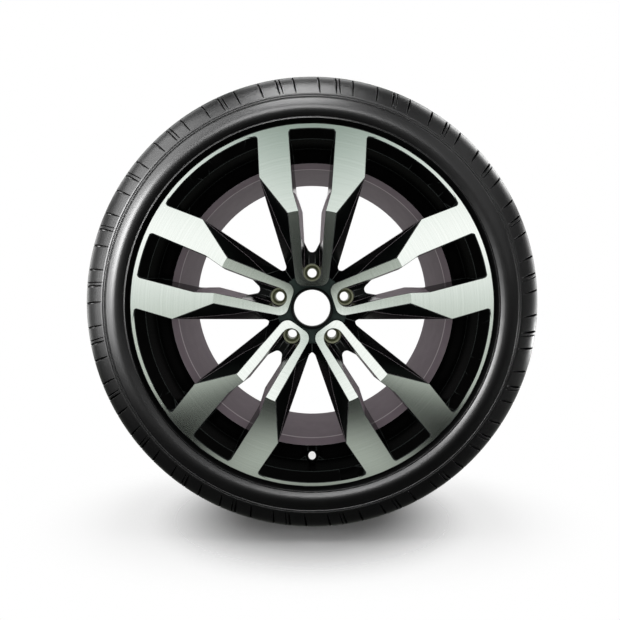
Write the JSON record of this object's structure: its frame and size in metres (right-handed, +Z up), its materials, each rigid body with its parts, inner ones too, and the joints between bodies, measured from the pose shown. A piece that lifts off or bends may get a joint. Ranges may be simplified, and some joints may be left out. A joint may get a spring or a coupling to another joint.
{
  "type": "wheel and tyre assembly",
  "caption": "Alloy road wheel with paired spokes, a turned bright face and gloss black sides, fitted with a low-profile tubeless tyre and its snap-in valve; bolts to a car hub.",
  "frame": {"origin": "centre of the hub bore on the mounting face of the wheel", "axes": "+Y along the wheel axis towards the car, so that the turned face looks towards -Y; +Z up with a pair of spokes on it and the valve straight down; +X to the right seen from the face"},
  "size_m": [0.7035, 0.2603, 0.7036],
  "materials": {
    "wheel_alloy": "turned face clear-coated over bare metal, the rest gloss black",
    "tyre_rubber": "smooth satin sidewall",
    "valve_rubber": "matt",
    "valve_brass": "turned",
    "cap_plastic": "moulded"
  },
  "bodies": {
    "wheel": {"alloy_wheel": "wheel_alloy", "tyre": "tyre_rubber", "valve_stem": "valve_rubber", "valve_core": "valve_brass"},
    "pin": {"valve_pin": "valve_brass"},
    "cap": {"valve_cap": "cap_plastic"}
  },
  "joints": [
    {"name": "pin_press", "type": "slide", "parent": "wheel", "child": "pin", "axis": [0, 0.8829, -0.4695], "range_m": [0, 0.001], "stiffness_N_per_m": 500},
    {"name": "cap_off", "type": "slide", "parent": "wheel", "child": "cap", "axis": [0, -0.8829, 0.4695], "range_m": [0, 0.014]}
  ]
}
